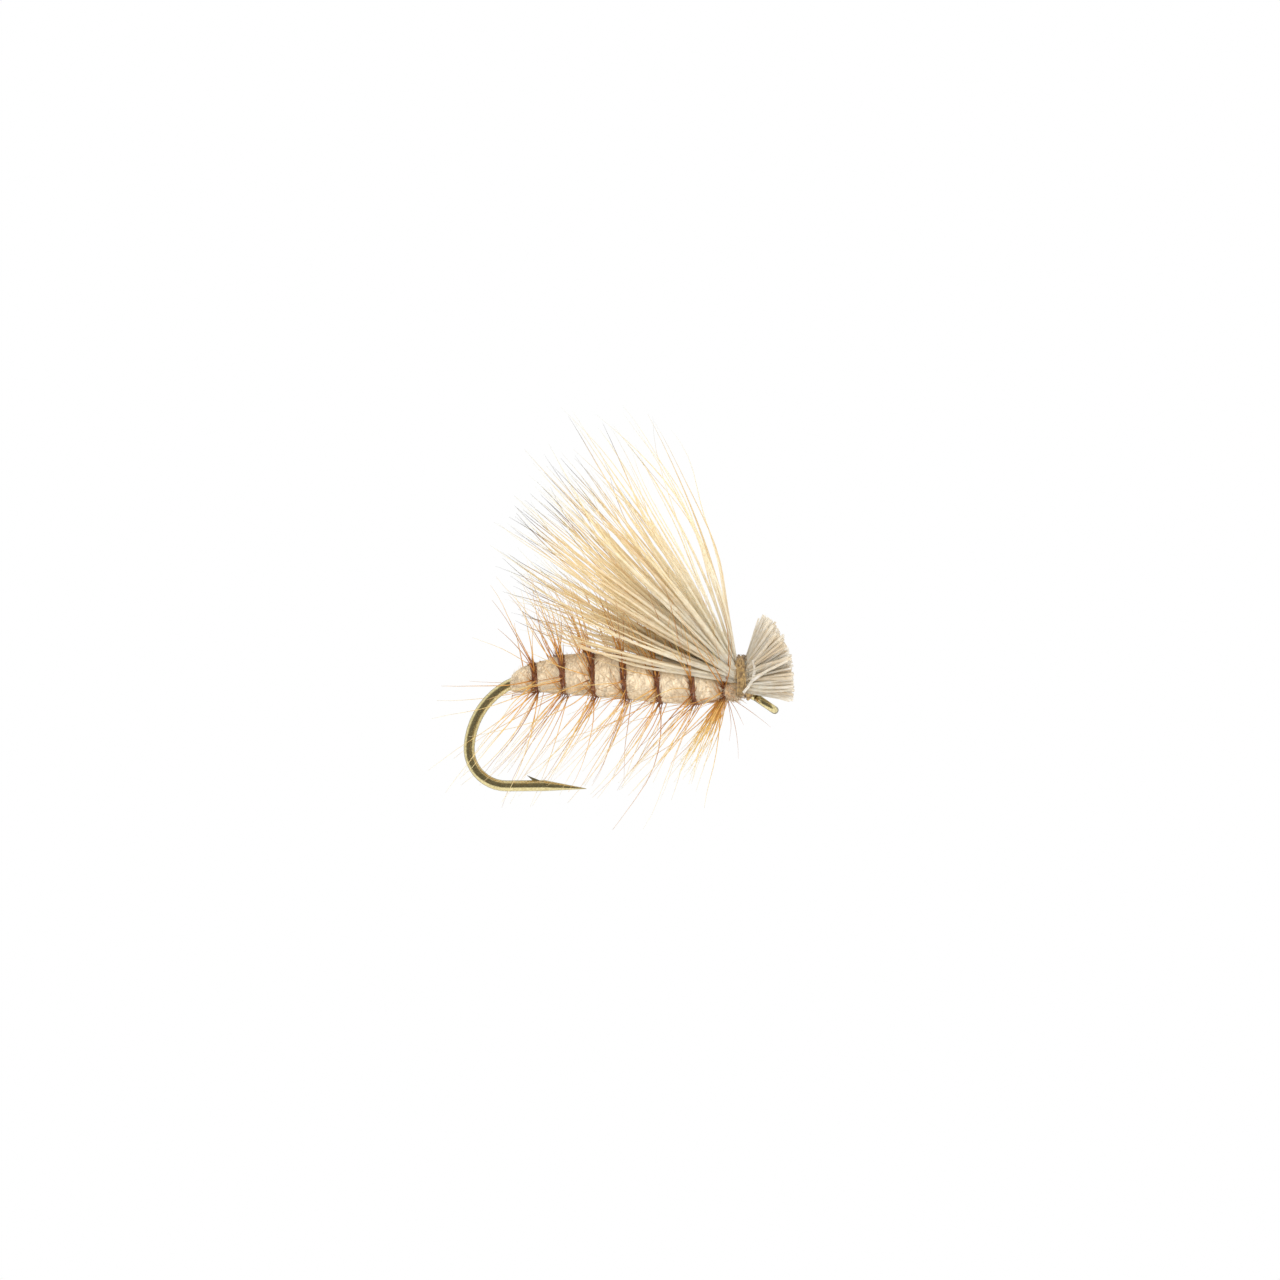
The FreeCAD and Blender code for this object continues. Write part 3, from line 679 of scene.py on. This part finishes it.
# The flat quill in section, from its rear edge over the rounded back: aside, up.
QUILL_PROFILE = (
    (-0.085, 0.0),
    (-0.075, 0.030),
    (-0.035, 0.055),
    (0.0, 0.062),
    (0.035, 0.055),
    (0.075, 0.030),
    (0.085, 0.0),
    (0.0, -0.02),
)
BAND_WIDTH = 1.38  # the quill's width against its profile, and how that changes
BAND_FLARE = 0.42
BAND_RAGGED = 0.30


def make_stem(material):
    """The flat quill wound over the body, with a rounded back."""
    count = int((STEM_LAST - STEM_FIRST) * PER_TURN)
    verts = []
    for number in range(count + 1):
        turns = STEM_FIRST + number / PER_TURN
        x, angle = stem_place(turns)
        out = outward(angle)
        ragged = BAND_RAGGED * noise.noise(Vector((turns * 9, 0, 0)))
        width = BAND_WIDTH + BAND_FLARE * math.cos(angle) + ragged
        base = body_point(x, angle)
        for aside, up in QUILL_PROFILE:
            verts.append((base + Vector((aside * width, 0, 0)) + out * up) * MM)
    faces = tube_faces(0, count + 1, len(QUILL_PROFILE))
    tube_object("hackle_quill_wound", verts, faces, material, "hackle_stem")


def stem_frame(turns):
    """Root on the stem's back, the outward direction and the direction round the body."""
    x, angle = stem_place(turns)
    out = outward(angle)
    return body_point(x, angle, 0.03), out, outward(angle + math.pi / 2)


ROOTS_PER_TURN = 260


def make_barb_roots(material):
    """Short dense barb ends along the stem, which make its dark ragged band."""
    draw = random.Random(5)
    strands = []
    for number in range(int((STEM_LAST - STEM_FIRST) * ROOTS_PER_TURN)):
        turns = STEM_FIRST + (number + draw.random()) / ROOTS_PER_TURN
        x, angle = stem_place(turns)
        above = 0.5 + 0.5 * math.cos(angle)
        standing = draw.random() < 0.30 * above + 0.06
        if draw.random() > 0.45 + 0.55 * above:
            continue
        reach = draw.uniform(0.14, 0.34 + 0.20 * above)
        x += draw.gauss(0, 0.035 + 0.03 * above)
        back = abs(draw.gauss(0.10, 0.10)) if standing else draw.gauss(0.02, 0.06)
        lift = draw.uniform(0.02, 0.06)
        points = []
        for step in range(5):
            t = step / 4
            turned = angle - t * reach / 0.8 * (0.5 if standing else 1.0)
            rise = lift + (0.9 * reach * t if standing else 0.05 * t * (1 - t))
            points.append(body_point(x - back * t, turned, rise))
        thick = draw.uniform(0.010, 0.018)
        radii = [thick * share for share in (1, 1, 0.9, 0.7, 0.3)]
        strands.append(Strand(points, radii, draw.random(), 0.0, 0.06))
    fibre_object("hackle_barb_roots", strands, 4, material)


BARB_POINTS = 9
BARB_WAVE = 0.018
BARBS = (37, 37, 37, 37, 37, 37, 28)  # standing barbs on each turn
CROSSING_BARBS = (2, 3, 5, 8, 8, 8, 6)  # barbs on each turn that stand up across the wing
LYING_BARBS = 14
BEARD_BARBS = 30
FORWARD_BARBS = ((-14, 2.4), (-34, 1.3), (-58, 2.0), (-8, 1.7))  # degrees of sweep, reach


def barb_strand(draw, root, direction, reach, bow, thick, tone):
    """A long barb that bends, wavers and thins towards its tip."""
    end = root + direction * reach
    points = curve_points((root, end), bow * reach, BARB_POINTS, BARB_WAVE * reach, draw)
    last = BARB_POINTS - 1
    radii = [thick * (1.1 - 0.90 * (step / last) ** 0.95) for step in range(BARB_POINTS)]
    return Strand(points, radii, tone)


def swept(spoke, sweep):
    """A direction out along a spoke, leaning back by an angle."""
    return (spoke * math.cos(sweep) + Vector((-math.sin(sweep), 0, 0))).normalized()


def barb_heading(draw, degrees):
    """Where a barb rooted this far round from the top points, seen along the shank."""
    side = 1 if degrees >= 0 else -1
    from_top = abs(degrees)
    if from_top < 95:
        return side * from_top * draw.uniform(0.20, 0.7)
    if from_top > 110:
        return side * (180 - (180 - from_top) * draw.uniform(0.3, 1.0))
    return degrees


def make_barbs(material):
    """The long barbs that stand round the body and lean back."""
    draw = random.Random(11)
    for turn, count in enumerate(BARBS):
        strands = []
        for number in range(count):
            turns = turn + (number + draw.random()) / count - 0.25
            if turns > STEM_LAST:
                continue
            root, out, around = stem_frame(turns)
            if turn == 0 and out.z > 0.2 and number % 2:
                continue  # the rearmost turn is thin on top
            degrees = (math.degrees(stem_place(turns)[1]) + 180) % 360 - 180
            heading = barb_heading(draw, degrees)
            below = 0.5 - 0.5 * math.cos(math.radians(heading))
            sweep = math.radians(draw.gauss(24 + 5 * below, 8))
            if draw.random() < 0.12:
                sweep = math.radians(draw.uniform(50, 76))
            longest = 4.0 + 1.3 * below
            reach = longest * draw.uniform(0.42, 1.0) ** 0.6
            direction = swept(outward(math.radians(heading)), sweep)
            bow = Vector((1, 0, 0)) * draw.gauss(0.03, 0.045) + around * draw.gauss(0, 0.03)
            root = root + Vector((draw.gauss(0, 0.04), 0, 0)) - out * 0.03
            tone = draw.random() * (0.45 + 0.55 * below)
            thick = draw.uniform(0.016, 0.029)
            strands.append(barb_strand(draw, root, direction, reach, bow, thick, tone))
        strands += lying_barbs(draw, turn)
        strands += crossing_barbs(draw, turn)
        if turn == len(BARBS) - 1:
            strands += throat_barbs(draw)
        name = f"hackle_barbs_turn_{turn + 1}"
        fibre_object(name, strands, 4, material, (f"hackle_barbs_{turn + 1}",))


def lying_barbs(draw, turn):
    """Barbs that lie back over the fur: slantwise up its sides and along its underside."""
    strands = []
    for number in range(LYING_BARBS):
        side = 1 if number % 2 else -1
        begin = math.radians(side * draw.uniform(120, 178))
        turns = turn + 0.25 * (1 if side > 0 else 0.3) * math.sin(abs(begin) / 2)
        x = stem_place(turns)[0]
        flat = number % 3 == 0
        climb = math.radians(side * (draw.uniform(-8, 12) if flat else draw.uniform(35, 110)))
        back = draw.uniform(0.7, 1.5) if flat else draw.uniform(0.35, 0.9)
        lift = draw.uniform(0.02, 0.05)
        curl = 0.30 if flat else 0.10
        points = []
        for step in range(7):
            t = step / 6
            place_x = max(x - back * t, BODY_START + 0.1)
            points.append(body_point(place_x, begin - climb * t, lift + curl * t * t))
        thick = draw.uniform(0.012, 0.020)
        radii = [thick * (1.1 - 0.8 * step / 6) for step in range(7)]
        strands.append(Strand(points, radii, draw.random() * 0.7, 0.04, 0.36))
    return strands


def crossing_barbs(draw, turn):
    """Long barbs of the near and far sides that stand up across the wing."""
    strands = []
    for number in range(CROSSING_BARBS[turn]):
        side = 1 if number % 2 else -1
        from_top = side * draw.uniform(0.05, 0.20) + (0.10 if side > 0 else 0)
        root, out = stem_frame(turn - 0.25 + from_top)[:2]
        spoke = outward(math.radians(side * draw.uniform(20, 42)))
        direction = swept(spoke, math.radians(draw.gauss(13, 9)))
        bow = Vector((draw.gauss(0.02, 0.03), 0, 0))
        reach = draw.uniform(2.4, 4.3)
        thick = draw.uniform(0.020, 0.029)
        tone = draw.uniform(0, 0.30)
        strands.append(barb_strand(draw, root - out * 0.03, direction, reach, bow, thick, tone))
    return strands


def throat_barbs(draw):
    """The thick beard below the front of the body, and a few that point forward."""
    strands = []
    for number in range(BEARD_BARBS):
        x = LAST_TURN + draw.gauss(0.05, 0.09)
        root = Vector((x, draw.gauss(0, 0.20), 0.16 + draw.gauss(0, 0.05)))
        sweep = math.radians(draw.gauss(26, 6))
        lean = draw.gauss(0, 0.22)
        direction = Vector((-math.sin(sweep), lean, -math.cos(sweep))).normalized()
        reach = draw.uniform(1.6, 3.9)
        bow = Vector((draw.gauss(0.02, 0.03), 0, 0))
        thick = draw.uniform(0.020, 0.032)
        tone = 0.5 + 0.5 * draw.random()
        strands.append(barb_strand(draw, root, direction, reach, bow, thick, tone))
    for ahead, reach in FORWARD_BARBS:
        root = Vector((LAST_TURN + 0.12, draw.gauss(0, 0.2), 0.22))
        sweep = math.radians(ahead)
        direction = Vector((-math.sin(sweep), draw.gauss(0, 0.1), -math.cos(sweep))).normalized()
        strands.append(barb_strand(draw, root, direction, reach, Vector((0.05, 0, 0)), 0.017, 0.05))
    return strands


# ---------------------------------------------------------------- hair


# The wing's layers: degrees above level, hairs, length of the longest.
LAYERS = (
    (11.0, 9, 8.7),
    (15.0, 12, 9.1),
    (19.0, 14, 9.5),
    (22.5, 14, 10.7),
    (26.5, 15, 10.1),
    (30.5, 22, 11.0),
    (34.0, 20, 11.3),
    (38.5, 21, 10.7),
    (42.0, 19, 11.2),
    (46.0, 18, 10.7),
    (50.5, 12, 11.8),
    (56.0, 6, 12.0),
    (59.5, 5, 11.0),
    (63.5, 4, 11.0),
    (68.5, 3, 11.1),
)
LOWEST = LAYERS[0][0]
STEEPEST = LAYERS[-1][0]
LOCK = 5  # hairs whose tips draw together
LOOSE_ABOVE = 0.74  # share of the fan above which every hair stands alone
HAIR_POINTS = 18
TAPER_FROM = 0.36  # share of a hair's length where it starts to thin
ROWS = 6


def heading(climb, side):
    """The direction back, up and aside, from two angles in degrees."""
    up = math.radians(climb)
    turn = math.radians(side)
    return Vector((-math.cos(up) * math.cos(turn), math.sin(turn), math.sin(up) * math.cos(turn)))


def wing_hair(draw, root, tip, share):
    """One wing hair, from under the collar's thread to its tip."""
    start = Vector((COLLAR_X - 0.17 - 0.16 * (1 - share), root.y, root.z))
    length = (tip - start).length
    run = (tip - start).normalized()
    normal = Vector((run.z, 0, -run.x))
    bow = -0.012 + 0.075 * share ** 3 + draw.gauss(0, 0.013 + 0.022 * share ** 4)
    wave = draw.uniform(0.08, 0.30) * (1 + 1.2 * share ** 4)
    points = curve_points((start, tip), normal * (bow * length), HAIR_POINTS - 1, wave, draw)
    flare = draw.gauss(0.16, 0.22)
    for number, point in enumerate(points):
        t = number / (HAIR_POINTS - 2)
        points[number] = point + normal * (flare * max(0.0, t - 0.6) ** 2 / 0.16)
    return [Vector((COLLAR_X + 0.04, root.y * 0.97, root.z))] + points


def hair_radii(draw, share):
    """Thickness along a hair: full to the middle, then fine for a long way."""
    thick = draw.uniform(0.043, 0.070) * (1 - 0.42 * share ** 3)
    radii = []
    for step in range(HAIR_POINTS):
        t = step / (HAIR_POINTS - 1)
        full = 0.86 + 0.22 * math.sin(math.pi * min(t / 0.8, 1)) ** 0.8
        thinned = max(0.0, (t - TAPER_FROM) / (1 - TAPER_FROM))
        radii.append(thick * full * (1 - 0.95 * thinned ** 0.95))
    return radii


def inside_collar(draw):
    """A place in the hair's oval bundle above the shank."""
    while True:
        y = draw.uniform(-0.74, 0.74)
        z = draw.uniform(0.40, 1.60)
        if (y / 0.76) ** 2 + ((z - COLLAR_Z) / 0.63) ** 2 < 1 and math.hypot(y, z - SHANK) > WIRE + 0.08:
            return Vector((0, y, z))


def make_wing(material):
    """The wing: locks of hair fanned back and up from the collar."""
    draw = random.Random(21)
    groups = {}
    for climb, count, longest in LAYERS:
        share = (climb - LOWEST) / (STEEPEST - LOWEST)
        half_width = 0.76 * math.sqrt(max(0.05, 1 - ((share - 0.45) / 0.62) ** 2))
        row = min(int(share * ROWS), ROWS - 1)
        lock = LOCK if share < LOOSE_ABOVE else 1
        for number in range(count):
            if number % lock == 0:
                lock_y = draw.uniform(-1, 1)
                lock_climb = climb + draw.gauss(0, 1.2 + share)
                lock_side = 15 * lock_y + draw.gauss(0, 3)
                lock_length = longest * draw.uniform(0.86, 1.0)
            y = min(max(lock_y + draw.gauss(0, 0.35), -1), 1) * half_width
            z = 0.74 + 0.80 * (0.75 * share + 0.25 * draw.random())
            root = Vector((0, y, z))
            middle = Vector((COLLAR_X - 0.2, lock_y * half_width, 0.76 + 0.74 * share))
            own = heading(lock_climb + draw.gauss(0, 0.9), lock_side + draw.gauss(0, 1.4))
            tip = middle + own * (lock_length * (1.03 - 0.22 * draw.random() ** 1.5))
            dark = draw.random() * (0.85 if share > 0.75 else 1.15)
            points = wing_hair(draw, root, tip, share)
            strand = Strand(points, hair_radii(draw, share), draw.random(), 0.10, 1.0, dark)
            groups.setdefault(row, []).append(strand)
    for row, strands in groups.items():
        name = f"elk_hair_wing_{row + 1}"
        fibre_object(name, strands, 6, material, (f"elk_hair_row_{row + 1}",))


BUTTS = 330
BUTT_SHAPE = (0.90, 1.0, 1.02, 1.02, 1.0, 0.97, 0.90, 0.80, 0.75)  # thickness from cut end to collar
# Two loose hairs across the near side of the head: start, end, bow.
STRAYS = (
    (Vector((-0.60, -1.00, 0.85)), Vector((0.34, -1.12, 1.54)), Vector((0, 0, 0.02))),
    (Vector((-0.62, -0.90, 1.62)), Vector((-0.90, -0.86, 0.38)), Vector((0.20, 0, 0))),
)
STRAY_THICK = 0.055
BUTT_REACH = 1.86  # from the collar to the arc on which the butts are cut


def make_butts(material):
    """The clipped head: hair butts flared forward of the collar and cut square."""
    draw = random.Random(8)
    strands = []
    for number in range(BUTTS):
        root = inside_collar(draw)
        share = min(max((root.z - 0.42) / 1.14 + draw.gauss(0, 0.10), 0), 1)
        climb = math.radians(-6 + 76 * share + draw.gauss(0, 3.0))
        turn = math.radians(27 * root.y / 0.76 + draw.gauss(0, 5))
        level = math.cos(climb) * math.cos(turn)
        run = Vector((level, math.sin(turn), math.sin(climb) * math.cos(turn)))
        start = Vector((COLLAR_X + 0.15, root.y * 0.95, root.z))
        reach = BUTT_REACH * draw.uniform(0.96, 1.02) / math.cos(turn) ** 0.7
        bow = Vector((0, 0, 1)) * draw.gauss(0.0, 0.04)
        points = curve_points((start + run * reach, start), bow, 7)
        points.insert(1, points[0].lerp(points[1], 0.03))
        points.append(Vector((COLLAR_X - 0.04, root.y * 0.95, root.z)))
        thick = draw.uniform(0.038, 0.062)
        radii = [thick * share for share in BUTT_SHAPE]
        strands.append(Strand(points, radii, draw.random(), 0.0, 0.12))
    for start, end, bow in STRAYS:
        points = curve_points((start, end), bow, 7)
        strands.append(Strand(points, [STRAY_THICK] * len(points), 1.0, 0.0, 0.05))
    fibre_object("elk_hair_butts", strands, 8, material)


# ---------------------------------------------------------------- thread


WINDING_STEPS = 40  # points of a thread in a turn
FUZZ = 1100
COLLAR_FUZZ_EVERY = 3  # one fibre of fuzz in this many is on the collar
FUZZ_WIDE = 0.93  # half axes of the oval that the collar's fuzz reaches
FUZZ_TALL = 0.82
WRAPS_X = -1.36  # middle of the wraps behind the collar
WRAPS_START = -1.72  # where their fuzz begins and ends, and the round that it stands on
WRAPS_END = -1.02
WRAPS_HEIGHT = 0.52
WRAPS_RADIUS = 0.38


def winding(draw, turns, centre, wide, tall, width, lean, radius, loose=0.012):
    """One thread wound round an oval that leans, its turns spread over a width."""
    points = []
    phase = draw.uniform(0, 6.28)
    run = Vector((math.cos(lean), 0, -math.sin(lean)))
    up = Vector((math.sin(lean), 0, math.cos(lean)))
    for step in range(turns * WINDING_STEPS + 1):
        angle = 2 * math.pi * step / WINDING_STEPS
        t = step / (turns * WINDING_STEPS)
        to_and_fro = 0.4 * math.sin(3 * math.pi * t + phase)
        spread = width * (to_and_fro + 0.1 * math.sin(9 * angle / turns + phase))
        proud = loose * noise.noise(Vector((angle * 0.9, phase, 0))) + 0.018 * t
        around = Vector((0, (wide + proud) * math.sin(angle), 0))
        around += up * ((tall + proud) * math.cos(angle))
        points.append(centre + around + run * spread)
    return Strand(points, [radius] * len(points), draw.random())


def collar_point(x, angle, wide, tall):
    """A point on an oval round the collar's middle; angle 0 is the top."""
    return Vector((x, -wide * math.sin(angle), COLLAR_Z + tall * math.cos(angle)))


def thread_fuzz(draw):
    """Fine fibres that stand off the collar and off the wraps behind it."""
    on_collar, on_wraps = [], []
    for number in range(FUZZ):
        angle = draw.uniform(0, 2 * math.pi)
        turned = angle + draw.gauss(0, 0.5)
        if number % COLLAR_FUZZ_EVERY == 0:
            group = on_collar
            x = COLLAR_X + draw.gauss(0, 0.12)
            root = collar_point(x, angle, COLLAR_WIDE, COLLAR_TALL)
            end = collar_point(x + draw.gauss(0, 0.10), turned, FUZZ_WIDE, FUZZ_TALL)
        else:
            group = on_wraps
            x = draw.uniform(WRAPS_START, WRAPS_END)
            root = Vector((x, 0, WRAPS_HEIGHT)) + outward(angle) * WRAPS_RADIUS
            end = Vector((x + draw.gauss(0.04, 0.14), 0, WRAPS_HEIGHT))
            end += outward(turned) * draw.uniform(0.43, 0.56)
        points = curve_points((root, end), outward(angle) * 0.04, 5)
        group.append(Strand(points, [0.011, 0.011, 0.010, 0.008, 0.004], draw.random() * 0.5))
    return on_collar, on_wraps


def make_threads(collar_material, painted_light_thread_material, fuzz_material):
    """The collar, the wraps behind it and the whip finish on the neck, with their fuzz."""
    draw = random.Random(17)
    middle = Vector((COLLAR_X, 0, COLLAR_Z))
    lean = math.radians(-8)
    collar = [
        winding(draw, 8, middle, COLLAR_WIDE, COLLAR_TALL, 0.35, lean, 0.036, 0.035)
        for number in range(4)
    ]
    fibre_object("thread_collar_turns", collar, 6, collar_material, ("thread_collar",))
    behind = Vector((WRAPS_X, 0, SHANK))
    lean = math.radians(-6)
    tied = [winding(draw, 9, behind, 0.40, 0.40, 0.46, lean, 0.032) for number in range(4)]
    # These wraps take the lighter copy of the tying thread, which paints orange light onto them.
    fibre_object("thread_tie_down_turns", tied, 6, painted_light_thread_material, ("thread_tie_down",))
    on_collar, on_wraps = thread_fuzz(draw)
    fibre_object("thread_collar_fuzz", on_collar, 3, collar_material)
    fibre_object("thread_tie_down_fuzz", on_wraps, 3, fuzz_material)
    neck = Vector((-math.cos(EYE_DOWN), 0, math.sin(EYE_DOWN))) * 0.70
    finish = [winding(draw, 6, neck, 0.245, 0.245, 0.18, EYE_DOWN, 0.028) for number in range(2)]
    fibre_object("whip_finish_turns", finish, 6, collar_material, ("whip_finish",))


# ---------------------------------------------------------------- everything


def main():
    add_camera()
    add_floor()
    add_light()
    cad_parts["hook"].material_slots[0].material = bronze_wire()
    tan = thread("tying_thread", (0.52, 0.345, 0.135), (0.19, 0.110, 0.045))
    # A second, lighter and oranger copy of the same tying thread, for the wraps behind the collar:
    # painted orange light, not a different thread.
    thread_painted_light = thread("tying_thread_painted_orange_light", (0.80, 0.53, 0.28), (0.42, 0.21, 0.09))
    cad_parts["thread_underwrap"].material_slots[0].material = tan
    fibre = dubbing_fibre()
    make_body(dubbing_fur())
    make_body_fibres(fibre)
    make_stem(hackle_quill())
    barb = hackle_barb()
    make_barb_roots(barb)
    make_barbs(barb)
    hair = elk_hair()
    make_wing(hair)
    make_butts(hair)
    make_threads(tan, thread_painted_light, fibre)


main()
